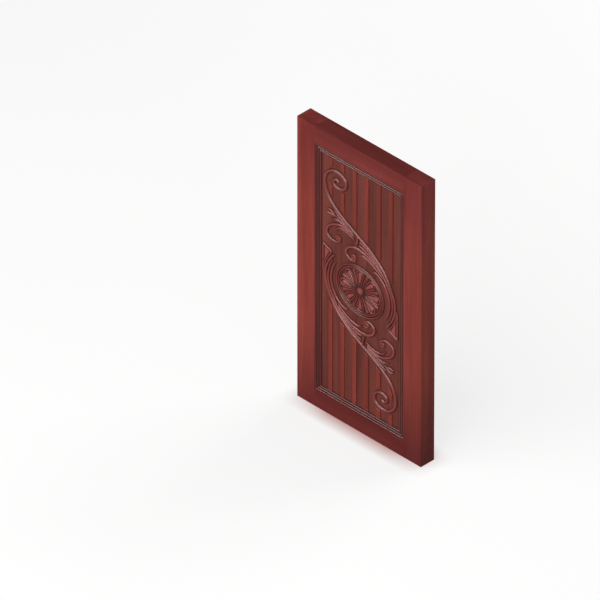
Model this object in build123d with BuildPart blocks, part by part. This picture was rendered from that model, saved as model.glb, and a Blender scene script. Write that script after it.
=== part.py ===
"""Carved wooden door leaf, in millimetres.

The leaf stands on its bottom edge. Its carved front faces -Y, +X is to the right of a person who
looks at the front, and the origin is the middle of the bottom edge, halfway through the thickness.
Two stiles and two rails hold a panel of tongued boards. Square-edged strips cover the board joints,
a mitred moulding closes the panel on both faces, and a scrolling stem with leaves, a rosette
medallion and two spandrels are carved apart and planted on the boards. The lower half of the
ornament is the upper half turned half a turn.
"""

import os
from math import cos, hypot, pi, sin

from build123d import *

os.makedirs("parts", exist_ok=True)

# Leaf and frame
leaf_height = 2050
leaf_width = 1050
leaf_thickness = 115
stile_width = 150
rail_width = 124
edge_chamfer = 2
tenon_length = 90
tenon_thickness = 38
tenon_shoulder = 22
play = 0.3

# Panel of boards, sunk below both faces of the frame
ground_depth = 16
groove_width = 30
groove_depth = 15
board_tongue_length = 10
board_tongue_thickness = 12
board_v_joint = 3

# Moulding round the panel: three beads that step down to the boards
moulding_width = 48
moulding_setback = 1.5
bead_step = 2.5
bead_rise = 4.5
hollow_width = 5
moulding_lip = 5

# Strips over the board joints
strip_count = 6
strip_width = 34
strip_height = 6
strip_chamfer = 2.5
strip_gap = 17

# Carving, as heights above the boards
stem_width = 20
volute_width = 22
tail_width = 16
stem_height = 13
leaf_height_above = 10.5
tendril_height = 12
web_height = 4
collar_height = 12.5
bevel_share = 0.32
shoulder_inset = 0.3
shoulder_rise = 0.5
knob_flats = 16

# Spandrels and medallion, as heights above the boards
spandrel_base = 3.5
spandrel_bead = 10
spandrel_bead_width = 10
spandrel_core = 8.5
rim_height = 12
rim_step_height = 8
rim_width = 13
rim_step_width = 12
rosette_ground = 3
petal_height = 10
petal_ridge_height = 8
petal_ridge_width = 7
spoke_height = 7.5
button_radius = 24
button_height = 12
petal_count = 8

# Room between the moulding and the carving, beside the spandrels and above the volute
spandrel_gap = 9
volute_gap = 71

# The carving's drawing: points across and up from the middle of the leaf, upper half only.
# It is stretched to fill the panel, so only its proportions count.
STEM = [
    (-182, 697), (-190, 712), (-203, 715), (-222, 703), (-227, 683), (-215, 665), (-190, 657),
    (-160, 661), (-133, 677), (-119, 707), (-126, 738), (-148, 759), (-175, 769), (-205, 771),
    (-240, 763), (-272, 741), (-292, 710), (-300, 675), (-297, 635), (-286, 597), (-262, 555),
    (-232, 523), (-200, 497), (-160, 469), (-80, 423), (0, 380), (80, 336), (120, 306),
    (160, 274), (200, 233), (230, 191), (250, 157), (268, 118), (283, 80), (292, 43), (294, 5),
    (289, -33), (280, -60), (265, -92), (245, -124), (222, -155),
]
VOLUTE_POINTS = 20
TAIL_POINTS = 10
STRIP_PITCH = 101.4
STUB_TOP = (675, 643)

LEFT_WEB = [(-46, 366), (-90, 385), (-140, 405)]
LEAF_G = [(-218, 483), (-190, 461), (-150, 438), (-110, 415), (-56, 388)]
BUD = [(-284, 452), (-270, 455), (-250, 457), (-231, 454), (-215, 447)]
BUD_STALK = [(-222, 450), (-195, 440), (-160, 427), (-110, 406)]
LEAF_I = [(-248, 404), (-225, 418), (-195, 424), (-160, 419), (-110, 399), (-56, 376)]
TENDRIL_J = [
    (-56, 368), (-110, 389), (-160, 399), (-200, 390), (-235, 374), (-262, 353), (-280, 325),
    (-283, 297), (-268, 275), (-240, 262), (-210, 260), (-185, 270), (-170, 290), (-176, 308),
]
LEAF_K = [(-211, 337), (-200, 358), (-175, 374), (-140, 377), (-100, 369), (-52, 352)]
EYE_J = (-191, 299)

RIGHT_WEB = [(-6, 322), (50, 305), (100, 276), (150, 236), (190, 190)]
REED_ONE = [
    (-8, 356), (50, 332), (100, 299), (150, 256), (190, 208), (217, 170), (240, 132), (258, 95),
    (268, 62), (272, 25), (270, -15), (262, -52), (250, -84), (232, -115),
]
REED_TWO = [(-10, 325), (40, 313), (100, 281), (150, 238), (186, 200)]
TENDRIL_E = [
    (155, 226), (130, 246), (100, 264), (60, 283), (20, 293), (-20, 298), (-60, 293), (-90, 279),
    (-112, 258), (-121, 233), (-112, 210), (-90, 196), (-65, 192), (-43, 202), (-36, 222),
]
LEAF_D = [(-12, 250), (5, 261), (25, 265), (60, 258), (100, 242), (140, 220), (168, 200), (188, 180)]
EYE_E = (-56, 224)
INNER_LEAF = [
    (103, 184), (118, 193), (140, 190), (160, 179), (180, 164), (200, 146), (215, 123), (230, 95),
    (243, 60), (248, 25), (245, -10), (238, -45), (225, -80), (208, -108),
]
COLLAR = [(-25, 386), (-21, 362), (-27, 338), (-39, 316)]

SPANDREL = [
    (-318, 210), (-233, 169), (-257, 138), (-277, 104), (-291, 70), (-300, 36), (-305, -10), (-318, 24),
]
SPANDREL_CORE = [(-298, 185), (-259, 163), (-277, 131), (-289, 104), (-298, 72)]
MEDALLION = (203, 181)
PETAL = ((0.40, 2), (0.60, 17), (0.69, 25), (0.74, 20), (0.76, 9))
PETAL_RIDGE = ((0.30, -5), (0.50, -15), (0.68, -22), (0.79, -16), (0.83, 0))
SPOKE = ((0.22, 3), (0.50, 7), (0.76, 11), (0.80, 5))

opening_width = leaf_width - 2 * stile_width
opening_height = leaf_height - 2 * rail_width
sight_width = opening_width - 2 * moulding_width
sight_height = opening_height - 2 * moulding_width
panel_thickness = leaf_thickness - 2 * ground_depth
middle = leaf_height / 2
stretch_across = (sight_width / 2 - spandrel_gap) / max(abs(x) for x, _ in SPANDREL)
stretch_up = (sight_height / 2 - volute_gap - volute_width / 2) / max(z for _, z in STEM)
strip_pitch = STRIP_PITCH * stretch_across


def front(turned=False):
    """The boards' front surface as a drawing plane, upright or turned half a turn in itself."""
    across = -1 if turned else 1
    return Plane(
        origin=(0, -panel_thickness / 2, middle), x_dir=(across, 0, 0), z_dir=(0, -1, 0)
    )


def finish(part, name):
    """Names a finished piece and writes its file."""
    part.label = name
    export_step(part, f"parts/{name}.step")


def on_panel(points):
    """The drawing's points, stretched to the panel."""
    return [(x * stretch_across, z * stretch_up) for x, z in points]


def headings(points):
    """Unit direction at each point, along the line through its two neighbours."""
    before = points[:1] + points[:-1]
    after = points[1:] + points[-1:]
    found = []
    for (x0, z0), (x1, z1) in zip(before, after):
        run = hypot(x1 - x0, z1 - z0)
        found.append(((x1 - x0) / run, (z1 - z0) / run))
    return found


def softened(points, widths):
    """The route with one more point, on the smooth curve, midway between each two."""
    ways = headings(points)
    route, sizes = [points[0]], [widths[0]]
    for i in range(len(points) - 1):
        (x0, z0), (x1, z1) = points[i], points[i + 1]
        bulge = hypot(x1 - x0, z1 - z0) / 8
        mid_x = (x0 + x1) / 2 + bulge * (ways[i][0] - ways[i + 1][0])
        mid_z = (z0 + z1) / 2 + bulge * (ways[i][1] - ways[i + 1][1])
        route += [(mid_x, mid_z), points[i + 1]]
        sizes += [(widths[i] + widths[i + 1]) / 2, widths[i + 1]]
    return route, sizes


def band(points, widths, margin=0.0):
    """Corners of a flat band along a route: each width, plus a margin on both sides."""
    ways = headings(points)
    halves = [width / 2 + margin for width in widths]
    left = [(x - b * h, z + a * h) for (x, z), (a, b), h in zip(points, ways, halves)]
    right = [(x + b * h, z - a * h) for (x, z), (a, b), h in zip(points, ways, halves)]
    return right + left[::-1]


def shrunk(corners, inset):
    """The same outline with every side moved inward by the inset and the corners mitred."""
    found = []
    before, after = corners[-1:] + corners[:-1], corners[1:] + corners[:1]
    for (x0, z0), (x, z), (x2, z2) in zip(before, corners, after):
        run, next_run = hypot(x - x0, z - z0), hypot(x2 - x, z2 - z)
        a, b = (z0 - z) / run, (x - x0) / run
        c, d = (z - z2) / next_run, (x2 - x) / next_run
        reach = inset / (1 + a * c + b * d)
        found.append((x + reach * (a + c), z + reach * (b + d)))
    return found


def bevelled(plane, corners, inset, height, shouldered=False):
    """A carved form on its own: it slopes from its foot, past a shoulder if it has one, to its crest."""
    outlines = [(0, corners), (height, shrunk(corners, inset))]
    if shouldered:
        outlines.insert(1, (height * shoulder_rise, shrunk(corners, inset * shoulder_inset)))
    rings = [[plane.from_local_coords((x, z, rise)) for x, z in line] for rise, line in outlines]
    sides = [
        (a, b, d, c)
        for low, high in zip(rings, rings[1:])
        for a, b, c, d in zip(low, low[1:] + low[:1], high, high[1:] + high[:1])
    ]
    return Solid(Shell([Face(Wire.make_polygon(side)) for side in [rings[0], rings[-1]] + sides]))


def carved(plane, points, widths, height, smooth=True, shouldered=False):
    """A carved bar along a route, bevelled as far as its narrowest end allows."""
    route, sizes = on_panel(points), widths
    if smooth:
        route, sizes = softened(route, sizes)
    return bevelled(plane, band(route, sizes), min(sizes) * bevel_share, height, shouldered)


def knob(plane, centre, radius, height):
    """A round boss on its own, cut with sloping flats."""
    ((x, z),) = on_panel([centre])
    turns = [2 * pi * i / knob_flats for i in range(knob_flats)]
    corners = [(x + radius * cos(turn), z + radius * sin(turn)) for turn in turns]
    return bevelled(plane, corners, radius * bevel_share, height, shouldered=True)


def stem_bed(plane, first, last):
    """The room that the stem takes between two of its points, with play on both sides."""
    route, sizes = softened(on_panel(STEM[first:last]), stem_widths[first:last])
    return bevelled(plane, band(route, sizes, play), 0, stem_height)


stem_widths = [volute_width] * VOLUTE_POINTS
stem_widths += [stem_width] * (len(STEM) - VOLUTE_POINTS - TAIL_POINTS)
stem_widths += [tail_width] * TAIL_POINTS


def stem_passes(x):
    """Heights and slopes at which the stem crosses x above the leaf's middle, lowest first."""
    route = on_panel(STEM)
    found = []
    for (x0, z0), (x1, z1) in zip(route, route[1:]):
        if (x0 - x) * (x1 - x) < 0 and z0 > 0 and z1 > 0:
            slope = (z1 - z0) / (x1 - x0)
            found.append((z0 + slope * (x - x0), slope))
    return sorted(found)


def clear_of_stem(x, which, side):
    """Height at x that leaves the strips' gap above (side 1) or below (side -1) a pass of the stem."""
    height, slope = stem_passes(x)[which]
    return height + side * (volute_width / 2 + strip_gap) * hypot(1, slope)


# Stiles, full height, grooved for the panel and mortised for the rails
for side, name in ((-1, "left_stile"), (1, "right_stile")):
    with BuildPart() as stile:
        with BuildSketch(Plane.XY):
            with Locations((side * (leaf_width - stile_width) / 2, 0)):
                Rectangle(stile_width, leaf_thickness)
        extrude(amount=leaf_height)
        outer = stile.edges().filter_by(Axis.Z).group_by(Axis.X)[0 if side < 0 else -1]
        chamfer(outer, edge_chamfer)
        with BuildSketch(Plane.XY.offset(rail_width)):
            with Locations((side * (opening_width + groove_depth) / 2, 0)):
                Rectangle(groove_depth, groove_width)
        extrude(amount=opening_height, mode=Mode.SUBTRACT)
        inner_edge = Plane(
            origin=(side * opening_width / 2, 0, middle), x_dir=(0, 1, 0), z_dir=(side, 0, 0)
        )
        with BuildSketch(inner_edge):
            with Locations((0, middle - rail_width / 2), (0, rail_width / 2 - middle)):
                Rectangle(tenon_thickness + 2 * play, rail_width - 2 * tenon_shoulder + 2 * play)
        extrude(amount=tenon_length + play, mode=Mode.SUBTRACT)
    finish(stile.part, name)

# Rails, between the stiles, with a tenon at each end and the panel's groove in the inner edge
for side, name in ((-1, "bottom_rail"), (1, "top_rail")):
    rail_middle = middle + side * (leaf_height - rail_width) / 2
    with BuildPart() as rail:
        with Locations((0, 0, rail_middle)):
            Box(opening_width, leaf_thickness, rail_width)
            Box(opening_width + 2 * tenon_length, tenon_thickness, rail_width - 2 * tenon_shoulder)
        with Locations((0, 0, middle + side * (opening_height + groove_depth) / 2)):
            Box(opening_width, groove_width, groove_depth, mode=Mode.SUBTRACT)
    finish(rail.part, name)

# Boards, edge to edge under the strips, tongued to each other and into the frame's groove
joints = [strip_pitch * (i - (strip_count - 1) / 2) for i in range(strip_count)]
board_edges = [-opening_width / 2] + joints + [opening_width / 2]
last_board = len(board_edges) - 2
for i in range(len(board_edges) - 1):
    left, right = board_edges[i], board_edges[i + 1]
    with BuildPart() as board:
        with BuildSketch(Plane.XY.offset(rail_width)):
            with Locations(((left + right) / 2, 0)):
                Rectangle(right - left, panel_thickness)
        extrude(amount=opening_height)
        back_edges = board.edges().filter_by(Axis.Z).group_by(Axis.Y)[-1].sort_by(Axis.X)
        chamfer(back_edges, board_v_joint)
        with Locations(((left + right) / 2, 0, middle)):
            Box(right - left, groove_width - 2 * play, opening_height + 2 * (groove_depth - play))
        if i == 0:
            with Locations((left - (groove_depth - play) / 2, 0, middle)):
                Box(groove_depth - play, groove_width - 2 * play, opening_height)
        else:
            with Locations((left + (board_tongue_length + play) / 2, 0, middle)):
                Box(
                    board_tongue_length + play,
                    board_tongue_thickness + 2 * play,
                    opening_height + 2 * groove_depth,
                    mode=Mode.SUBTRACT,
                )
        if i == last_board:
            with Locations((right + (groove_depth - play) / 2, 0, middle)):
                Box(groove_depth - play, groove_width - 2 * play, opening_height)
        else:
            with Locations((right + board_tongue_length / 2, 0, middle)):
                Box(board_tongue_length, board_tongue_thickness, opening_height)
    finish(board.part, f"board_{i + 1}")

# Mouldings, planted in the corner between frame and boards and mitred to each other
bead_width = (moulding_width - moulding_lip - 2 * hollow_width) / 3
bead_tops = [ground_depth - moulding_setback - i * bead_step for i in range(3)]
for face, outward in (("front", Vector(0, -1, 0)), ("back", Vector(0, 1, 0))):
    for side, inward, along, half_span in (
        ("top", Vector(0, 0, -1), Vector(1, 0, 0), opening_height / 2),
        ("bottom", Vector(0, 0, 1), Vector(1, 0, 0), opening_height / 2),
        ("left", Vector(1, 0, 0), Vector(0, 0, 1), opening_width / 2),
        ("right", Vector(-1, 0, 0), Vector(0, 0, 1), opening_width / 2),
    ):
        corner = Vector(0, 0, middle) + outward * (panel_thickness / 2) - inward * half_span
        half_length = opening_width / 2 if along.X else opening_height / 2
        with BuildPart() as moulding:
            with BuildSketch(Plane(corner, x_dir=inward, z_dir=inward.cross(outward))):
                with BuildLine():
                    Line((0, 0), (0, bead_tops[0] - bead_rise))
                    start = 0
                    for top in bead_tops:
                        low = top - bead_rise
                        end = start + bead_width
                        crown = (start + bead_width / 2, top)
                        ThreePointArc((start, low), crown, (end, low - bead_step / 2))
                        if top != bead_tops[-1]:
                            Line((end, low - bead_step / 2), (end + hollow_width, low - bead_step))
                        start = end + hollow_width
                    Line((end, low - bead_step / 2), (moulding_width, 0))
                    Line((moulding_width, 0), (0, 0))
                make_face()
            extrude(amount=half_length, both=True)
            for end_way in (along, along * -1):
                mitre = Plane(corner + end_way * half_length, z_dir=end_way + inward)
                split(bisect_by=mitre, keep=Keep.BOTTOM)
        finish(moulding.part, f"{face}_moulding_{side}")

# Strips over the joints, cut back from the stem; each half has the same eight
for half, turned in (("upper", False), ("lower", True)):
    plane = front(turned)
    for i in range(strip_count):
        left = joints[i] - strip_width / 2
        right = joints[i] + strip_width / 2
        foot_cut = (clear_of_stem(left, -1, 1), clear_of_stem(right, -1, 1))
        pieces = [("strip", (sight_height / 2, sight_height / 2), foot_cut)]
        if i < 2:
            foot_cut = (clear_of_stem(left, 0, 1), clear_of_stem(right, 0, 1))
            if i == 0:
                head_cut = (STUB_TOP[0] * stretch_up, STUB_TOP[1] * stretch_up)
            else:
                head_cut = (clear_of_stem(left, 1, -1), clear_of_stem(right, 1, -1))
            pieces.append(("stub", head_cut, foot_cut))
        for kind, head, foot in pieces:
            with BuildPart() as strip:
                with BuildSketch(plane):
                    with BuildLine():
                        corners = [(left, head[0]), (right, head[1]), (right, foot[1]), (left, foot[0])]
                        Polyline(corners, close=True)
                    make_face()
                extrude(amount=strip_height)
                up_panel = Axis(plane.origin, plane.y_dir)
                rim = strip.faces().sort_by(Axis.Y)[0].edges().sort_by(up_panel)
                chamfer(rim[:-1] if kind == "strip" else rim, strip_chamfer)
            finish(strip.part, f"{half}_{kind}_{i + 1}")

# One stem from the eye of its volute to the tip beside the medallion
plane = front()
with BuildPart() as stem:
    add(carved(plane, STEM, stem_widths, stem_height, shouldered=True))

# Spray on the volute's side of the collar, cut to the stem that it lies against
with BuildPart() as left_spray:
    add([
        carved(plane, LEFT_WEB, [34, 44, 36], web_height, smooth=False),
        carved(plane, LEAF_G, [11, 14, 13, 11, 8], leaf_height_above),
        carved(plane, BUD, [8, 27, 35, 28, 9], leaf_height_above),
        carved(plane, BUD_STALK, [8, 7, 7, 6], leaf_height_above - 3, smooth=False),
        carved(plane, LEAF_I, [5, 13, 15, 12, 9, 7], leaf_height_above),
        carved(plane, TENDRIL_J, [8, 10, 13, 16] + [17] * 8 + [15, 12], tendril_height),
        carved(plane, LEAF_K, [9, 14, 15, 13, 10, 8], leaf_height_above),
        knob(plane, EYE_J, 17, tendril_height),
    ])
    add(stem_bed(plane, 20, 27), mode=Mode.SUBTRACT)

# Spray on the medallion's side: reeds that run on beside the stem, a tendril and a leaf
with BuildPart() as right_spray:
    add([
        carved(plane, RIGHT_WEB, [66, 62, 46, 30, 12], web_height, smooth=False),
        carved(plane, REED_ONE, [11, 10, 9, 9, 10] + [13] * 8 + [8], leaf_height_above, smooth=False),
        carved(plane, REED_TWO, [11, 10, 9, 8, 5], leaf_height_above),
        carved(plane, TENDRIL_E, [5, 8, 10, 13, 15, 17] + [18] * 4 + [17, 17, 16, 15, 12], tendril_height),
        carved(plane, LEAF_D, [7, 14, 17, 15, 13, 11, 9, 5], leaf_height_above),
        knob(plane, EYE_E, 20, tendril_height),
    ])
    add(stem_bed(plane, 24, len(STEM)), mode=Mode.SUBTRACT)

# Long leaf that follows the medallion inside the reeds
with BuildPart() as inner_leaf:
    sizes = [8, 15, 16, 15, 14, 14, 15, 15, 15, 15, 15, 14, 13, 8]
    add(carved(plane, INNER_LEAF, sizes, leaf_height_above, smooth=False))

# Collar that ties both sprays to the stem
with BuildPart() as collar:
    add(carved(plane, COLLAR, [10, 12, 11, 8], collar_height, smooth=False))
    add(stem_bed(plane, 23, 27), mode=Mode.SUBTRACT)

# Spandrel in the corner beside the medallion: a sunk field with a raised core inside a bead
with BuildPart() as spandrel:
    with BuildSketch(plane) as field:
        with BuildLine():
            Polyline(on_panel(SPANDREL), close=True)
        make_face()
    extrude(amount=spandrel_bead)
    with BuildSketch(plane.offset(spandrel_base)):
        add(field.sketch_local)
        offset(amount=-spandrel_bead_width, kind=Kind.INTERSECTION, mode=Mode.REPLACE)
    extrude(amount=spandrel_bead, mode=Mode.SUBTRACT)
    with BuildSketch(plane.offset(spandrel_base)):
        with BuildLine():
            Polyline(on_panel(SPANDREL_CORE), close=True)
        make_face()
    extrude(amount=spandrel_core - spandrel_base)

# The lower half of the ornament is the upper half, turned half a turn about the leaf's middle
for piece, name in (
    (stem, "stem"),
    (left_spray, "left_spray"),
    (right_spray, "right_spray"),
    (inner_leaf, "inner_leaf"),
    (collar, "collar"),
    (spandrel, "spandrel"),
):
    finish(piece.part, f"upper_{name}")
    with BuildPart() as turned_piece:
        add(piece.part.rotate(Axis((0, 0, middle), (0, 1, 0)), 180))
    finish(turned_piece.part, f"lower_{name}")

# Medallion: a dished oval with a double rim, petals with a ridge round each, and spokes between
across, up = on_panel([MEDALLION])[0]
with BuildPart() as medallion:
    with BuildSketch(plane):
        Ellipse(across, up)
    extrude(amount=rim_height)
    with BuildSketch(plane.offset(rim_step_height)):
        Ellipse(across - rim_width, up - rim_width)
    extrude(amount=rim_height, mode=Mode.SUBTRACT)
    with BuildSketch(plane.offset(rosette_ground)):
        Ellipse(across - rim_width - rim_step_width, up - rim_width - rim_step_width)
    extrude(amount=rim_height, mode=Mode.SUBTRACT)
    rosette = []
    for i in range(petal_count):
        turn = 2 * pi * i / petal_count
        x, z = MEDALLION[0] * cos(turn), MEDALLION[1] * sin(turn)
        side_x, side_z = -z / hypot(x, z), x / hypot(x, z)
        petal = [(x * out, z * out) for out, _ in PETAL]
        rosette.append(carved(plane, petal, [width for _, width in PETAL], petal_height, smooth=False))
        near = [(x * out + side_x * off, z * out + side_z * off) for out, off in PETAL_RIDGE]
        far = [(x * out - side_x * off, z * out - side_z * off) for out, off in PETAL_RIDGE]
        ridge = near + far[-2::-1]
        sizes = [petal_ridge_width] * len(ridge)
        rosette.append(carved(plane, ridge, sizes, petal_ridge_height, smooth=False))
        turn += pi / petal_count
        x, z = MEDALLION[0] * cos(turn), MEDALLION[1] * sin(turn)
        spoke = [(x * out, z * out) for out, _ in SPOKE]
        rosette.append(carved(plane, spoke, [width for _, width in SPOKE], spoke_height, smooth=False))
    add(rosette)
finish(medallion.part, "medallion")

# Round button at the rosette's heart
with BuildPart() as button:
    add(knob(plane.offset(rosette_ground), (0, 0), button_radius, button_height - rosette_ground))
finish(button.part, "rosette_button")
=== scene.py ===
"""Carved mahogany door leaf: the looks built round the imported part, in metres.

The leaf stands on its bottom edge with its carved front towards -Y and +Z up. Each section below is one
piece or one group of like pieces, in the order in which the leaf is put together.
"""

import bpy
import numpy as np
from mathutils import Matrix, Vector


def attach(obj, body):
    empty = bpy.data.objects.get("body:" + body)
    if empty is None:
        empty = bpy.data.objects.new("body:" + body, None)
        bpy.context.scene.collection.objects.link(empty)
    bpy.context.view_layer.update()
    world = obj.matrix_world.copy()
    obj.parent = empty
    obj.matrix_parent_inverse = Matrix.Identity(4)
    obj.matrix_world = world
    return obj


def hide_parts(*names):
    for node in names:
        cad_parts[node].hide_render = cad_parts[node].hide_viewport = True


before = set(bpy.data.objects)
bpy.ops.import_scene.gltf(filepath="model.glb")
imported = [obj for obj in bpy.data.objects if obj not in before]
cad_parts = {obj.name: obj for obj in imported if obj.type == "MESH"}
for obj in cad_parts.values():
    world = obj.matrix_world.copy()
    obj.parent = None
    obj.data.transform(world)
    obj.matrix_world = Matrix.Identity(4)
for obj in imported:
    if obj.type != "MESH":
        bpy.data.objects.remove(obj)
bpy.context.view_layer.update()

# Camera: true isometric, 45 degrees round and 35.264 up, through a very long lens.
# aim is the point on the leaf's front plane that lies at the centre of the picture.
aim = Vector((-0.4995, -0.0575, 0.7166))
picture_width = 3.602
lens = 1300.0
backward = Vector((1, -1, 1)).normalized()
rightward = Vector((1, 1, 0)).normalized()
upward = backward.cross(rightward)
camera_data = bpy.data.cameras.new("camera")
camera_data.lens = lens
camera_data.sensor_width = 36.0
camera_data.clip_start = 1.0
camera_data.clip_end = 1000.0
camera = bpy.data.objects.new("camera", camera_data)
bpy.context.scene.collection.objects.link(camera)
turn = Matrix((rightward, upward, backward)).transposed().to_4x4()
camera.matrix_world = Matrix.Translation(aim + backward * (picture_width * lens / 36.0)) @ turn
bpy.context.scene.camera = camera

# Floor: one large pale plane that the leaf stands on. Near the leaf's front foot its brightness
# is tinted dark red as a painted reflection and shadow of the leaf, which fades within a hand's breadth.
floor_half = 30.0
floor_grey = (0.28, 0.28, 0.278, 1)
floor_roughness = 0.6
floor_brightness = 0.71
# Painted reflection and shadow of the leaf's foot: the floor's camera-seen brightness turns dark red near it and
# fades with distance.
painted_reflection_tint = (0.36, 0.05, 0.02, 1)
painted_reflection_share = 0.92
painted_reflection_reach = (("X", 0.25, 0.62), ("Y", 0.0575, 0.170))
floor_mesh = bpy.data.meshes.new("floor")
floor_mesh.from_pydata(
    [(x * floor_half, y * floor_half, 0) for x, y in ((-1, -1), (1, -1), (1, 1), (-1, 1))],
    [],
    [(0, 1, 2, 3)],
)
floor = bpy.data.objects.new("floor", floor_mesh)
bpy.context.scene.collection.objects.link(floor)
floor_paint = bpy.data.materials.new("floor_paint")
floor_paint.use_nodes = True
floor_nodes, floor_links = floor_paint.node_tree.nodes, floor_paint.node_tree.links
floor_shader = floor_nodes["Principled BSDF"]
floor_shader.inputs["Base Color"].default_value = floor_grey
floor_shader.inputs["Roughness"].default_value = floor_roughness
floor_shader.inputs["Specular IOR Level"].default_value = 0.0
floor_place = floor_nodes.new("ShaderNodeTexCoord")
floor_parted = floor_nodes.new("ShaderNodeSeparateXYZ")
floor_links.new(floor_place.outputs["Object"], floor_parted.inputs["Vector"])
painted_reflection_shares = []
for axis, near, far in painted_reflection_reach:
    away = floor_nodes.new("ShaderNodeMath")
    away.operation = "ABSOLUTE"
    floor_links.new(floor_parted.outputs[axis], away.inputs[0])
    fade = floor_nodes.new("ShaderNodeMapRange")
    fade.inputs["From Min"].default_value = near
    fade.inputs["From Max"].default_value = far
    fade.inputs["To Min"].default_value = painted_reflection_share
    fade.inputs["To Max"].default_value = 0.0
    floor_links.new(away.outputs[0], fade.inputs["Value"])
    painted_reflection_shares.append(fade.outputs["Result"])
painted_reflection_mask = floor_nodes.new("ShaderNodeMath")
painted_reflection_mask.operation = "MULTIPLY"
for k in (0, 1):
    floor_links.new(painted_reflection_shares[k], painted_reflection_mask.inputs[k])
# The painted reflection and shadow: the floor's emission colour is mixed towards the dark red near the leaf's foot.
painted_reflection_mix = floor_nodes.new("ShaderNodeMix")
painted_reflection_mix.data_type = "RGBA"
painted_reflection_mix.inputs[6].default_value = (1, 1, 1, 1)
painted_reflection_mix.inputs[7].default_value = painted_reflection_tint
floor_links.new(painted_reflection_mask.outputs[0], painted_reflection_mix.inputs[0])
floor_links.new(painted_reflection_mix.outputs[2], floor_shader.inputs["Emission Color"])
seen = floor_nodes.new("ShaderNodeLightPath")
lift = floor_nodes.new("ShaderNodeMapRange")
lift.inputs["To Min"].default_value = 0.0
lift.inputs["To Max"].default_value = floor_brightness
floor_links.new(seen.outputs["Is Camera Ray"], lift.inputs["Value"])
floor_links.new(lift.outputs["Result"], floor_shader.inputs["Emission Strength"])
floor_mesh.materials.append(floor_paint)

# Light: a long soft bank high in front on the left and a broad one in front on the right, whose
# reflections run along the upper flanks of the carving, a small one for the right edge and one behind,
# in a dim surround that only the camera sees as white.
surround = 0.17
light_aim = Vector((0, 0, 1.0))
light_banks = (
    ("high_bank", (-3.8, -9.9, 8.8), (14.0, 2.6), 1200),
    ("corner_bank", (5.2, -10.2, 5.8), (5.5, 4.5), 690),
    ("side_bank", (12.0, -5.0, 3.6), (4.0, 3.0), 205),
    ("back_bank", (1.8, 10.8, 4.2), (10.0, 3.0), 1050),
)
bpy.context.scene.view_settings.view_transform = "Standard"
world = bpy.data.worlds.new("surround")
bpy.context.scene.world = world
world.use_nodes = True
backdrop = world.node_tree.nodes["Background"]
backdrop.inputs["Color"].default_value = (1, 1, 1, 1)
sight = world.node_tree.nodes.new("ShaderNodeLightPath")
glow = world.node_tree.nodes.new("ShaderNodeMapRange")
glow.inputs["To Min"].default_value = surround
glow.inputs["To Max"].default_value = 1.0
world.node_tree.links.new(sight.outputs["Is Camera Ray"], glow.inputs["Value"])
world.node_tree.links.new(glow.outputs["Result"], backdrop.inputs["Strength"])
for name, spot, size, power in light_banks:
    light_data = bpy.data.lights.new(name, "AREA")
    light_data.shape = "RECTANGLE"
    light_data.size, light_data.size_y = size
    light_data.energy = power
    light = bpy.data.objects.new(name, light_data)
    light.location = spot
    light.rotation_euler = (light_aim - Vector(spot)).to_track_quat("-Z", "Y").to_euler()
    bpy.context.scene.collection.objects.link(light)

# Stiles and rails: four thick planks of mahogany, mortised and tenoned, stained and lacquered satin.
# The grain runs along each plank, and each is cut from another part of the tree. Each plank's colour is also
# scaled as painted light and shade: the left stile and bottom rail lighter, the right stile and top rail darker.
frame_deep = (0.210, 0.032, 0.023)
frame_fair = (0.315, 0.058, 0.043)
frame_planks_and_painted_tones = (("left_stile", 2, 1.10), ("right_stile", 2, 0.85), ("bottom_rail", 0, 1.04), ("top_rail", 0, 0.81))
fibre_shade = (0.55, 0.40, 0.38)
pore_darkness = 0.25
pore_depth = 0.0003
# The dark colour of painted shade, laid over hollows and over the foot of each strip's sides.
painted_shade_colour = (0.30, 0.27, 0.26)
wax_dulling = 0.25
# Painted shade: the frame darkens towards the foot and the head of the leaf, over these heights.
foot_painted_shade, foot_painted_shade_fade = (0.56, 0.49, 0.60), (0.06, 0.62)
head_painted_shade, head_painted_shade_fade = (0.78, 0.68, 0.82), (1.50, 1.98)


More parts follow.
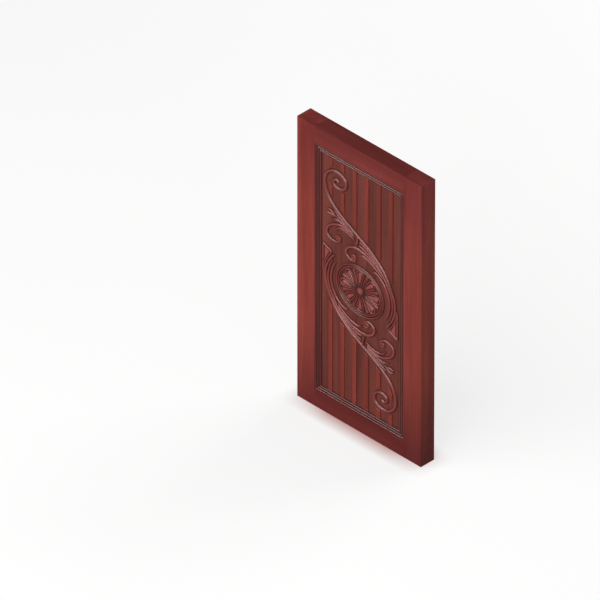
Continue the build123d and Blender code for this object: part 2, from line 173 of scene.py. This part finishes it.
def mahogany(name, deep, fair, along=2, shift=(0, 0, 0), rough=0.36, wear_and_shade=None, gloss=0.22, ends=False, sides=None):
    """Lacquered mahogany. The colour is broad noise drawn out along the grain, between deep and fair; fine noise
    adds fibres, and a sharper one adds short dark pores, which are also a shallow bump. An attribute may be named
    that is 0 in hollows, which are painted dark as painted shade and given a duller lacquer, and 1 on crests, which
    are painted lighter, as wear and as a painted highlight. With ends, the colour is painted darker and more purple
    towards the head and the foot of the leaf as painted shade. sides is two distances of the front from the leaf's
    mid plane, between which a planted strip goes from painted shade to clean."""
    material = bpy.data.materials.new(name)
    material.use_nodes = True
    nodes, links = material.node_tree.nodes, material.node_tree.links
    shader = nodes["Principled BSDF"]
    place = nodes.new("ShaderNodeTexCoord")

    def noise(across, lengthwise, detail, distortion):
        """Noise on the leaf's own coordinates, which are scaled by lengthwise along the grain and by across in
        the other two directions, and moved by shift."""
        mapping = nodes.new("ShaderNodeMapping")
        scale = [across] * 3
        scale[along] = lengthwise
        mapping.inputs["Scale"].default_value = scale
        mapping.inputs["Location"].default_value = shift
        links.new(place.outputs["Object"], mapping.inputs["Vector"])
        texture = nodes.new("ShaderNodeTexNoise")
        texture.inputs["Scale"].default_value = 1.0
        texture.inputs["Detail"].default_value = detail
        texture.inputs["Distortion"].default_value = distortion
        links.new(mapping.outputs["Vector"], texture.inputs["Vector"])
        return texture.outputs["Fac"]

    def stretch(value, low, high, to_low, to_high):
        """A straight line from to_low at low to to_high at high, level beyond them."""
        node = nodes.new("ShaderNodeMapRange")
        node.inputs["From Min"].default_value = low
        node.inputs["From Max"].default_value = high
        node.inputs["To Min"].default_value = to_low
        node.inputs["To Max"].default_value = to_high
        links.new(value, node.inputs["Value"])
        return node.outputs["Result"]

    def mix(kind, factor, first, second):
        """The first colour laid over by the second as far as factor says. Numbers and colours are set on the
        node, and anything else is linked to it."""
        node = nodes.new("ShaderNodeMix")
        node.data_type = "RGBA"
        node.blend_type = kind
        for socket, value in ((node.inputs[0], factor), (node.inputs[6], first), (node.inputs[7], second)):
            if isinstance(value, (int, float)):
                socket.default_value = value
            elif isinstance(value, tuple):
                socket.default_value = (*value, 1)
            else:
                links.new(value, socket)
        return node.outputs[2]

    figure = noise(across=9, lengthwise=0.7, detail=4, distortion=0.6)
    fibre = noise(across=160, lengthwise=3.0, detail=5, distortion=0.2)
    pore = noise(across=620, lengthwise=22, detail=2, distortion=0.0)
    colour = mix("MIX", stretch(figure, 0.34, 0.66, 0, 1), deep, fair)
    filled = 0.5 if wear_and_shade else 1.0
    colour = mix("MULTIPLY", stretch(fibre, 0.35, 0.65, 0.42 * filled, 0.0), colour, fibre_shade)
    pits = stretch(pore, 0.60, 0.70, 0, 1)
    pored = tuple(pore_darkness * c for c in deep)
    colour = mix("MIX", stretch(pore, 0.60, 0.74, 0, 0.55 * filled), colour, pored)
    # Painted shade darkens the hollows; the lighter colour on the crests is partly wear, partly painted highlight.
    if wear_and_shade:
        attribute = nodes.new("ShaderNodeAttribute")
        attribute.attribute_name = wear_and_shade
        hollow_shade_and_dulling = stretch(attribute.outputs["Fac"], 0.0, 0.72, 1.0, 0.0)
        crest_wear_and_highlight = stretch(attribute.outputs["Fac"], 0.75, 1.0, 0.0, 0.40)
        rubbed_and_highlight_colour = tuple(min(1, 1.35 * c + 0.02) for c in fair)
        colour = mix("MULTIPLY", hollow_shade_and_dulling, colour, painted_shade_colour)
        colour = mix("MIX", crest_wear_and_highlight, colour, rubbed_and_highlight_colour)
    parted = nodes.new("ShaderNodeSeparateXYZ")
    links.new(place.outputs["Object"], parted.inputs["Vector"])
    # Painted shade: a strip's sides darken towards the boards.
    if sides:
        colour = mix("MULTIPLY", stretch(parted.outputs["Y"], -sides[1], -sides[0], 0, 1), colour, painted_shade_colour)
    # Painted shade towards the foot and the head of the leaf.
    if ends:
        colour = mix("MULTIPLY", stretch(parted.outputs["Z"], *foot_painted_shade_fade, 1, 0), colour, foot_painted_shade)
        colour = mix("MULTIPLY", stretch(parted.outputs["Z"], *head_painted_shade_fade, 0, 1), colour, head_painted_shade)
    links.new(colour, shader.inputs["Base Color"])
    sheen = stretch(fibre, 0.3, 0.7, rough - 0.05, rough + 0.08)
    if wear_and_shade:
        dulled = nodes.new("ShaderNodeMath")
        dulled.operation = "MULTIPLY_ADD"
        links.new(hollow_shade_and_dulling, dulled.inputs[0])
        dulled.inputs[1].default_value = wax_dulling
        links.new(sheen, dulled.inputs[2])
        sheen = dulled.outputs[0]
    links.new(sheen, shader.inputs["Roughness"])
    bump = nodes.new("ShaderNodeBump")
    bump.invert = True
    bump.inputs["Strength"].default_value = 0.35 * filled
    bump.inputs["Distance"].default_value = pore_depth
    links.new(pits, bump.inputs["Height"])
    links.new(bump.outputs["Normal"], shader.inputs["Normal"])
    shader.inputs["Specular IOR Level"].default_value = gloss
    return material


def finish_node(name, material):
    """Gives a carried-over solid its finish in every slot."""
    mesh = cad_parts[name].data
    mesh.materials.clear()
    mesh.materials.append(material)


# Each plank's deep and fair colours are scaled by its painted light-and-shade factor.
for i, (name, along, painted_lighting_tone) in enumerate(frame_planks_and_painted_tones):
    deep, fair = (tuple(painted_lighting_tone * c for c in colour) for colour in (frame_deep, frame_fair))
    finish_node(name, mahogany(f"mahogany_{name}", deep, fair, along, (3.1 * i, 1.7 * i, 5.3 * i), ends=True))

# Boards: seven boards of darker mahogany, tongued to each other and into the grooves of the frame. They
# were stained before the strips and the carving were glued on.
board_deep = (0.110, 0.026, 0.019)
board_fair = (0.185, 0.046, 0.034)
for i in range(1, 8):
    finish_node(
        f"board_{i}",
        mahogany(f"mahogany_board_{i}", board_deep, board_fair, shift=(2.3 * i, 4.1 * i, 7.7 * i), rough=0.42),
    )

# Mouldings: four mitred lengths of dark-stained mahogany on each face, run with three beads that step
# down to the boards, and glued and pinned into the corner between frame and boards.
leaf_middle = 1.025
opening = (0.750, 1.802)
panel_half = 0.0415
moulding_width = 0.048
moulding_lip = 0.0022
moulding_sunk = 0.0005
bead_width = 0.009
bead_bevel = 0.85
bead_crowns = (0.0131, 0.0113, 0.0095)
bead_rise = 0.0039
hollow_widths = (0.008, 0.008, 0.003)
bead_points = 17
crown_softness = 0.03
crown_round = 0.05
hollow_flat = np.array([0.1, 0.9])
quirk_depth = 0.0022
# The upright lengths are painted lighter than the level ones as painted light.
upright_painted_light_deep, upright_painted_light_fair = (0.140, 0.027, 0.022), (0.220, 0.042, 0.034)
level_deep, level_fair = (0.112, 0.022, 0.018), (0.178, 0.034, 0.028)
sharp_angle = 0.7


def build(name, parts, material, replaced):
    """One object from closed shells. Each part is an array of rings of points, carried into quads between
    neighbours both ways round, with one face over each end, and a share per point that sets the wear and the
    painted shade of its colour. A shell whose volume, summed over its faces, comes out negative is turned outwards."""
    points, faces, wear_and_shade, start = [], [], [], 0
    for grid, wear in parts:
        rings, around = grid.shape[:2]
        index = start + np.arange(rings * around).reshape(rings, around)
        here, there = index[:-1], index[1:]
        quads = np.stack([here, there, np.roll(there, -1, 1), np.roll(here, -1, 1)], -1).reshape(-1, 4)
        ends = [index[0], index[-1, ::-1]]
        flat = (grid - grid.mean((0, 1))).reshape(-1, 3)
        a, b, c, d = (flat[quads[:, k] - start] for k in range(4))
        volume = np.einsum("ij,ij->", a, np.cross(b, c)) + np.einsum("ij,ij->", a, np.cross(c, d))
        for end in ends:
            p = flat[end - start]
            volume += np.einsum("ij,ij->", np.broadcast_to(p[:1], p[1:-1].shape), np.cross(p[1:-1], p[2:]))
        if volume < 0:
            quads, ends = quads[:, ::-1], [end[::-1] for end in ends]
        faces += quads.tolist() + [end.tolist() for end in ends]
        points.append(grid.reshape(-1, 3))
        wear_and_shade.append(np.broadcast_to(wear, (rings, around)).reshape(-1))
        start += rings * around
    points, wear_and_shade = np.concatenate(points), np.concatenate(wear_and_shade)
    mesh = bpy.data.meshes.new(name)
    mesh.from_pydata(points.tolist(), [], faces)
    mesh.polygons.foreach_set("use_smooth", np.ones(len(faces), bool))
    mesh.set_sharp_from_angle(angle=sharp_angle)
    mesh.attributes.new("wear_and_shade", "FLOAT", "POINT").data.foreach_set("value", wear_and_shade.astype(np.float32))
    mesh.materials.append(material)
    piece = bpy.data.objects.new(name, mesh)
    bpy.context.scene.collection.objects.link(piece)
    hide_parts(*replaced)
    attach(piece, "root")
    return piece


def bead(bevel, points):
    """Places across a bead, from -1 to 1, and the share of its rise there: from each side a straight slope climbs
    over the bevel's share of the half width, and meets the crown in the smooth lesser of the two."""
    across = np.linspace(-1, 1, points)
    climb = (1 - np.abs(across)) / bevel
    return across, 0.5 * (climb + 1 - np.sqrt((climb - 1) ** 2 + crown_softness)) - crown_round * across**2


def moulding(side, outward):
    """A profile carried straight between two mitres: three beads with a quirk sunk below each. Each end is drawn in
    by as much as the point lies in from the frame. The colour is darkest in the quirks, as painted shade, and
    lightest on the crowns, as wear and as a painted highlight."""
    reach, height, wear_and_shade = [np.zeros(2)], [np.array([-moulding_sunk, bead_crowns[0] - bead_rise])], [np.zeros(2)]
    across, level = bead(bead_bevel, bead_points)
    start = 0
    for crown, hollow_width in zip(bead_crowns, hollow_widths):
        reach.append(start + bead_width * (across + 1) / 2)
        height.append(crown - bead_rise * (1 - level))
        wear_and_shade.append(np.clip(level, 0, 1))
        reach.append(start + bead_width + hollow_width * hollow_flat)
        height.append(np.full(2, crown - bead_rise - quirk_depth))
        wear_and_shade.append(np.zeros(2))
        start += bead_width + hollow_width
    reach.append(np.array([moulding_width, moulding_width]))
    height.append(np.array([moulding_lip, -moulding_sunk]))
    wear_and_shade.append(np.zeros(2))
    reach, height, wear_and_shade = np.concatenate(reach), np.concatenate(height), np.concatenate(wear_and_shade)
    upright = side in ("left", "right")
    inward = -1 if side in ("top", "right") else 1
    half_span = opening[0] / 2 if upright else opening[1] / 2
    half_length = opening[1] / 2 if upright else opening[0] / 2
    run = np.linspace(-1, 1, 25)[:, None] * (half_length - reach[None, :])
    place = np.broadcast_to(inward * (reach - half_span), run.shape)
    level = np.broadcast_to(outward * (panel_half + height), run.shape)
    grid = np.stack([place, level, run + leaf_middle] if upright else [run, level, place + leaf_middle], -1)
    return grid, wear_and_shade


# Upright lengths: the same wood painted lighter as painted light.
moulding_upright_painted_light = mahogany(
    "mahogany_moulding_upright", upright_painted_light_deep, upright_painted_light_fair, along=2, shift=(1.3, 9.1, 2.2),
    rough=0.28, wear_and_shade="wear_and_shade", gloss=0.50,
)
moulding_level = mahogany(
    "mahogany_moulding_level", level_deep, level_fair, along=0, shift=(6.3, 2.1, 4.2),
    rough=0.28, wear_and_shade="wear_and_shade", gloss=0.46,
)
for face, outward in (("front", -1), ("back", 1)):
    for side in ("top", "bottom", "left", "right"):
        build(
            f"moulding_{face}_{side}",
            [moulding(side, outward)],
            moulding_upright_painted_light if side in ("left", "right") else moulding_level,
            [f"{face}_moulding_{side}"],
        )

# Strips and stubs: flat strips of mahogany with eased arrises, glued over the board joints and cut back
# along the stem. The grain runs up and down. Their sides are painted dark towards the boards as painted
# shade, and the lower strips are painted lighter than the upper ones as painted light.
strip_painted_shade_height = 0.0045
strip_deep = (0.165, 0.027, 0.019)
strip_fair = (0.255, 0.043, 0.030)
# The lower strips are painted lighter than the upper ones as painted light.
for half, painted_lighting_tone in (("upper", 1.0), ("lower", 1.14)):
    deep, fair = (tuple(painted_lighting_tone * c for c in colour) for colour in (strip_deep, strip_fair))
    for i in range(1, 7):
        wood = mahogany(
            f"mahogany_strip_{half}_{i}", deep, fair, shift=(3.7 * i, 1.1, 5.9 * i), rough=0.34,
            sides=(panel_half, panel_half + strip_painted_shade_height),
        )
        finish_node(f"{half}_strip_{i}", wood)
        if i < 3:
            finish_node(f"{half}_stub_{i}", wood)

# Stems: one scrolling bar of mahogany in each half, from the eye of its volute to the tip beside the
# medallion, sawn from thick stock, rounded over by hand and glued to the boards.
carving_deep = (0.165, 0.030, 0.025)
carving_fair = (0.255, 0.050, 0.041)
front = -panel_half
stem_route = [
    (-182, 697), (-190, 712), (-203, 715), (-222, 703), (-227, 683), (-215, 665), (-190, 657),
    (-160, 661), (-133, 677), (-119, 707), (-126, 738), (-148, 759), (-175, 769), (-205, 771),
    (-240, 763), (-272, 741), (-292, 710), (-300, 675), (-297, 635), (-286, 597), (-262, 555),
    (-232, 523), (-200, 497), (-160, 469), (-80, 423), (0, 380), (80, 336), (120, 306),
    (160, 274), (200, 233), (230, 191), (250, 157), (268, 118), (283, 80), (292, 43), (294, 5),
    (289, -33), (280, -60), (265, -92), (245, -124), (222, -155),
]
stem_widths = [22] * 20 + [20] * 11 + [16] * 10
stem_height = 0.013
crest_height = 0.0095
full_from, full_to = 0.22, 0.70
flank_share = 0.8
vein_width = 0.22
sunk = 0.0008
# Width and thickness of a thin dark sheet of painted shadow round the foot of each bar.
shadow_film_width = 0.0028
shadow_film_thick = 0.0003
point_step = 0.0025
easing = 7
bar_points = 29


def course(route, widths):
    """Evenly spaced points, headings and widths on a fair curve: a cubic through the drawn points, with the
    chords' slopes as tangents, resampled by length and then averaged over a short rolling window."""
    drawn, wide = np.array(route, float) / 1000, np.array(widths, float) / 1000
    chord = np.concatenate([[0], np.cumsum(np.hypot(*np.diff(drawn, axis=0).T))])
    slope = np.gradient(drawn, chord, axis=0)
    dense = np.linspace(0, chord[-1], 40 * len(route))
    low = np.clip(np.searchsorted(chord, dense, "right") - 1, 0, len(route) - 2)
    gap = (chord[low + 1] - chord[low])[:, None]
    t = (dense[:, None] - chord[low][:, None]) / gap
    curve = (
        (2 * t**3 - 3 * t**2 + 1) * drawn[low] + (t**3 - 2 * t**2 + t) * gap * slope[low]
        + (3 * t**2 - 2 * t**3) * drawn[low + 1] + (t**3 - t**2) * gap * slope[low + 1]
    )
    length = np.concatenate([[0], np.cumsum(np.hypot(*np.diff(curve, axis=0).T))])
    even = np.linspace(0, length[-1], max(12, int(length[-1] / point_step)))
    wide = np.interp(np.interp(even, length, dense), chord, wide)
    line = np.stack([np.interp(even, length, curve[:, k]) for k in (0, 1)], -1)
    window = np.hanning(2 * easing + 3)[1:-1]
    window /= window.sum()
    lead, tail = 2 * line[0] - line[easing:0:-1], 2 * line[-1] - line[-2 : -easing - 2 : -1]
    padded = np.concatenate([lead, line, tail])
    line = np.stack([np.convolve(padded[:, k], window, "valid") for k in (0, 1)], -1)
    heading = np.gradient(line, axis=0)
    heading /= np.hypot(*heading.T)[:, None]
    return line, heading, wide, even


def bar(route, widths, height, half=1, low_start=1.0, low_end=1.0, vein=0.0, bevel=0.62):
    """A carved bar: a bead on upright sides, carried along a curve, whose flanks slope about one in one. A vein
    sinks along the middle, each end is rounded in plan over half its width, and the height eases down to its
    share at the ends. A thin dark sheet round its foot is painted shadow."""
    line, heading, wide, even = course(route, widths)
    total = even[-1]
    near = np.minimum(even, total - even)
    rounded = np.sqrt(np.clip(1 - (1 - np.clip(near / (wide / 2), 0, 1)) ** 2, 0.02, 1))
    share = even / total
    fall = np.interp(share, [0, full_from, full_to, 1], [low_start, 1, 1, low_end])
    across, level = bead(bevel, bar_points)
    top = height * fall * rounded**0.6
    drop = np.minimum(flank_share * top, bevel * wide * rounded / 2)
    dip = vein * np.exp(-((across / vein_width) ** 2)) * np.sin(np.pi * np.clip(share, 0, 1))[:, None]
    rise = top[:, None] * (1 - dip) - drop[:, None] * (1 - level)[None, :]
    # The six points beyond each side make a thin dark sheet on the boards: painted shadow round the foot.
    across = np.concatenate([across, [1, 1, 1, -1, -1, -1]])
    beyond = shadow_film_width * np.array([0.0] * bar_points + [0, 1, 1, -1, -1, 0])
    shadow_film = np.array([shadow_film_thick, shadow_film_thick, -sunk, -sunk, shadow_film_thick, shadow_film_thick])
    rise = np.concatenate([rise, np.broadcast_to(shadow_film, (len(line), 6))], 1)
    normal = np.stack([-heading[:, 1], heading[:, 0]], -1)
    offset = across[None, :] * (wide * rounded / 2)[:, None] + beyond[None, :]
    flat = line[:, None, :] + normal[:, None, :] * offset[..., None]
    grid = np.stack([half * flat[..., 0], front - rise, leaf_middle + half * flat[..., 1]], -1)
    wear_and_shade = np.clip(rise / max(height, crest_height), 0, 1)
    return grid, wear_and_shade


carving_wood = mahogany(
    "mahogany_carving", carving_deep, carving_fair, shift=(8.3, 0.4, 3.2), rough=0.30, wear_and_shade="wear_and_shade", gloss=0.42
)
halves = (("upper", 1), ("lower", -1))
for name, half in halves:
    build(
        f"stem_{name}",
        [bar(stem_route, stem_widths, stem_height, half, bevel=0.8)],
        carving_wood, [f"{name}_stem"],
    )

# Left sprays: on the volute's side of the collar, a split bud on its stalk, two leaves, a tendril that
# curls to a round eye and a last leaf, carved with their low web from one piece of mahogany and glued
# to the boards.
web_height = 0.004
stalk_height = 0.0075
leaf_height = 0.0105
tendril_height = 0.012
deep_vein = 0.40
faint_vein = 0.15
left_eye_radius = 0.018


def boss(across, up, radius, steps, half=1):
    """A turned form: rings round a centre, each a share of the radius out and a height above the boards."""
    turn = np.linspace(0, 2 * np.pi, 49)[:-1]
    share, rise = np.array(steps, float).T
    x = across / 1000 + radius * share[:, None] * np.cos(turn)
    z = up / 1000 + radius * share[:, None] * np.sin(turn)
    y = np.broadcast_to((front - rise)[:, None], x.shape)
    wear_and_shade = np.clip(rise / rise.max(), 0, 1)[:, None]
    return np.stack([half * x, y, leaf_middle + half * z], -1), wear_and_shade


def eye(height):
    """Shares and heights of a scroll's eye: a round ring, which climbs and falls as the sine of half a turn, on
    a short upright foot, about a sunk middle."""
    turn = np.linspace(0, np.pi, 15)
    rise = height * np.where(turn < np.pi / 2, 0.35 + 0.65 * np.sin(turn), 0.15 + 0.85 * np.sin(turn))
    return [(1, -sunk)] + list(zip(1 - 0.72 * turn / np.pi, rise)) + [(0.02, 0.12 * height)]


for name, half in halves:
    build(
        f"left_spray_{name}",
        [
            bar([(-46, 366), (-90, 385), (-140, 405)], [34, 44, 36], web_height, half),
            bar([(-218, 483), (-190, 461), (-150, 438), (-110, 415), (-56, 388)], [11, 14, 13, 11, 8],
                leaf_height, half, low_start=0.6, low_end=0.8, vein=deep_vein),
            bar([(-284, 461), (-268, 468), (-250, 469), (-232, 461), (-216, 449)], [6, 14, 17, 14, 6],
                leaf_height, half, low_start=0.7, low_end=0.8, vein=faint_vein),
            bar([(-286, 446), (-268, 444), (-250, 443), (-232, 444), (-214, 445)], [6, 14, 17, 14, 6],
                leaf_height, half, low_start=0.7, low_end=0.8, vein=faint_vein),
            bar([(-222, 450), (-195, 440), (-160, 427), (-110, 406)], [8, 7, 7, 6], stalk_height, half),
            bar([(-248, 404), (-225, 418), (-195, 424), (-160, 419), (-110, 399), (-56, 376)],
                [5, 13, 15, 12, 9, 7], leaf_height, half, low_start=0.6, low_end=0.8, vein=deep_vein),
            bar([(-56, 368), (-110, 389), (-160, 399), (-200, 390), (-235, 374), (-262, 353), (-280, 325),
                 (-283, 297), (-268, 275), (-240, 262), (-210, 260), (-185, 270), (-170, 290), (-176, 308)],
                [8, 10, 13, 16] + [17] * 8 + [15, 12], tendril_height, half, low_start=0.7, low_end=0.9),
            bar([(-211, 337), (-200, 358), (-175, 374), (-140, 377), (-100, 369), (-52, 352)],
                [9, 14, 15, 13, 10, 8], leaf_height, half, low_start=0.8, low_end=0.8, vein=deep_vein),
            boss(-191, 299, left_eye_radius, eye(tendril_height), half),
        ],
        carving_wood, [f"{name}_left_spray"],
    )

# Right sprays: on the medallion's side of the collar, two reeds that run on beside the stem, a tendril
# that curls to a round eye and a leaf, carved with their low web from one piece of mahogany and glued
# to the boards.
right_eye_radius = 0.020
for name, half in halves:
    build(
        f"right_spray_{name}",
        [
            bar([(-6, 322), (50, 305), (100, 276), (150, 236), (190, 190)], [66, 62, 46, 30, 12], web_height, half),
            bar([(-8, 356), (50, 332), (100, 299), (150, 256), (190, 208), (217, 170), (240, 132), (258, 95),
                 (268, 62), (272, 25), (270, -15), (262, -52), (250, -84), (232, -115)],
                [11, 10, 9, 9, 10] + [13] * 8 + [8], leaf_height, half, low_start=0.8, low_end=0.7),
            bar([(-10, 325), (40, 313), (100, 281), (150, 238), (186, 200)], [11, 10, 9, 8, 5],
                leaf_height, half, low_start=0.8, low_end=0.7),
            bar([(155, 226), (130, 246), (100, 264), (60, 283), (20, 293), (-20, 298), (-60, 293), (-90, 279),
                 (-112, 258), (-121, 233), (-112, 210), (-90, 196), (-65, 192), (-43, 202), (-36, 222)],
                [5, 8, 10, 13, 15, 17] + [18] * 4 + [17, 17, 16, 15, 12],
                tendril_height, half, low_start=0.6, low_end=0.9),
            bar([(-12, 250), (5, 261), (25, 265), (60, 258), (100, 242), (140, 220), (168, 200), (188, 180)],
                [7, 14, 17, 15, 13, 11, 9, 5], leaf_height, half, low_start=0.7, low_end=0.7, vein=faint_vein),
            boss(-56, 224, right_eye_radius, eye(tendril_height), half),
        ],
        carving_wood, [f"{name}_right_spray"],
    )

# Inner leaves: one long leaf of mahogany in each half, which follows the medallion inside the reeds. It is
# carved on its own and glued to the boards.
for name, half in halves:
    build(
        f"inner_leaf_{name}",
        [
            bar([(103, 184), (118, 193), (140, 190), (160, 179), (180, 164), (200, 146), (215, 123), (230, 95),
                 (243, 60), (248, 25), (245, -10), (238, -45), (225, -80), (208, -108)],
                [8, 15, 16, 15, 14, 14, 15, 15, 15, 15, 15, 14, 13, 8],
                leaf_height, half, low_start=0.7, low_end=0.7, vein=faint_vein),
        ],
        carving_wood, [f"{name}_inner_leaf"],
    )

# Collars: a short curved tie of mahogany between the roots of the two sprays, carved on its own and
# glued to the boards against the stem, one in each half.
collar_height = 0.0125
for name, half in halves:
    build(
        f"collar_{name}",
        [bar([(-25, 386), (-21, 362), (-27, 338), (-39, 316)], [10, 12, 11, 8], collar_height, half)],
        carving_wood, [f"{name}_collar"],
    )

# Spandrels: the two corners beside the medallion, each cut from one piece of mahogany and glued to the
# boards, with a bead that frames a sunk field and its raised core.
field_rise = 0.0028
field_bead = 0.010
core_rise = 0.0085
spandrel_outline = [
    (-318, 210), (-233, 169), (-257, 138), (-277, 104), (-291, 70), (-300, 36), (-305, -10), (-318, 24),
]
spandrel_core = [(-298, 185), (-259, 163), (-277, 131), (-289, 104), (-298, 72)]


def plate(outline, steps, half):
    """A flat form with shaped sides: its outline moved inward by each step's inset, with the corners mitred, at
    each step's height above the boards."""
    corner = np.array(outline, float) / 1000
    area = np.sum(corner[:, 0] * np.roll(corner[:, 1], -1) - np.roll(corner[:, 0], -1) * corner[:, 1])
    before, after = corner - np.roll(corner, 1, 0), np.roll(corner, -1, 0) - corner
    sides = [
        np.stack([-way[:, 1], way[:, 0]], -1) / np.hypot(*way.T)[:, None] * np.sign(area) for way in (before, after)
    ]
    reach = (sides[0] + sides[1]) / (1 + np.sum(sides[0] * sides[1], 1))[:, None]
    inset, rise = np.array(steps, float).T
    flat = corner[None] + inset[:, None, None] * reach[None]
    level = np.broadcast_to((front - rise)[:, None], flat.shape[:2])
    wear_and_shade = np.clip(rise / core_rise, 0, 1)[:, None]
    return np.stack([half * flat[..., 0], level, leaf_middle + half * flat[..., 1]], -1), wear_and_shade


for name, half in halves:
    build(
        f"spandrel_{name}",
        [
            plate(spandrel_outline, [(0.001, -sunk), (0.001, field_rise)], half),
            bar([(-314, 203), (-275, 184), (-241, 168)], [11, 11, 11], field_bead, half, bevel=bead_bevel),
            bar([(-240, 167), (-261, 136), (-281, 102), (-295, 69), (-304, 34), (-309, -3)], [10] * 6,
                field_bead, half, bevel=bead_bevel),
            bar([(-313, 203), (-313, 110), (-313, 20)], [9.5] * 3, field_bead, half),
            plate(spandrel_core, [(0, -sunk), (0, 0.0062), (0.0012, 0.0079), (0.0035, core_rise)], half),
        ],
        carving_wood, [f"{name}_spandrel"],
    )

# Medallion: an oval dish of mahogany, carved from one piece and glued to the boards, with three beads for
# its rim, eight broad petals with a ridge round each, and a split spoke between every two.
medallion_half = (203, 181)
petal_count = 8
edge_rise = 0.0050
ground_rise = 0.0022
petal_height = 0.0100
ridge_height = 0.0085
spoke_height = 0.0082
petal = ((0.34, 6), (0.46, 17), (0.58, 27), (0.67, 31), (0.75, 28))
petal_ridge = ((0.24, 6), (0.40, 14), (0.52, 21), (0.64, 26), (0.73, 25), (0.79, 16), (0.812, 0))
spoke = ((0.22, 4), (0.40, 11), (0.60, 18), (0.76, 22), (0.80, 20))
rim_beads = ((0.0064, 0.0050, 0.0120), (0.0220, 0.0040, 0.0110), (0.0322, 0.0020, 0.0062))
rim_points = 13
rim_slope = 0.9
rim_quirk = 0.0028
quirk_gaps = (0.0006, 0.0018)
ground_places = (0.06, 0.10, 0.17)


def dish():
    """Ovals moved inward from the outline: one bead for each of the rim's, given by its place, half width and
    crown, with a quirk beyond it, then the rosette's flat ground. The quirks and the ground are painted dark as
    painted shade."""
    steps = [(0.0, -sunk, 0.0), (0.0, edge_rise, 0.3)]
    for middle, half_bead, crown in rim_beads:
        for across, level in zip(*bead(bead_bevel, rim_points)):
            steps.append((middle + half_bead * across, crown - rim_slope * half_bead * (1 - level), max(0.0, level)))
        quirk = max(ground_rise, crown - half_bead - rim_quirk)
        steps += [(middle + half_bead + gap, quirk, 0.0) for gap in quirk_gaps]
    steps += [(place, ground_rise, 0.0) for place in ground_places]
    inset, rise, wear_and_shade = np.array(steps).T
    turn = np.linspace(0, 2 * np.pi, 181)[:-1]
    x = (medallion_half[0] / 1000 - inset)[:, None] * np.cos(turn)
    z = (medallion_half[1] / 1000 - inset)[:, None] * np.sin(turn)
    y = np.broadcast_to((front - rise)[:, None], x.shape)
    return np.stack([x, y, leaf_middle + z], -1), wear_and_shade[:, None]


rosette = [dish()]
for i in range(petal_count):
    turn = 2 * np.pi * i / petal_count
    for angle, kind in ((turn, "petal"), (turn + np.pi / petal_count, "spoke")):
        reach = np.array([medallion_half[0] * np.cos(angle), medallion_half[1] * np.sin(angle)])
        side = np.array([-reach[1], reach[0]]) / np.hypot(*reach)
        if kind == "petal":
            near = [out * reach + off * side for out, off in petal_ridge]
            far = [out * reach - off * side for out, off in petal_ridge]
            line, widths = [out * reach for out, _ in petal], [wide for _, wide in petal]
            rosette.append(bar(line, widths, petal_height, bevel=0.3))
            rosette.append(bar(near + far[-2::-1], [5] + [7] * 11 + [5], ridge_height, low_start=0.6, low_end=0.6))
        else:
            line, widths = [out * reach for out, _ in spoke], [wide for _, wide in spoke]
            rosette.append(bar(line, widths, spoke_height, low_start=0.7, vein=0.85, bevel=0.4))
build("medallion", rosette, carving_wood, ["medallion"])

# Button: a small boss of mahogany at the rosette's heart, turned with a ring round a low dome, and glued
# over the roots of the petals.
button_radius = 0.024
button_turning = [
    (1, -sunk), (1, 0.0062), (0.97, 0.0082), (0.88, 0.0095), (0.79, 0.0094), (0.74, 0.0086), (0.69, 0.0092),
    (0.62, 0.0104), (0.50, 0.0114), (0.32, 0.0119), (0.12, 0.0120), (0.02, 0.0120),
]
build("rosette_button", [boss(0, 0, button_radius, button_turning)], carving_wood, ["rosette_button"])
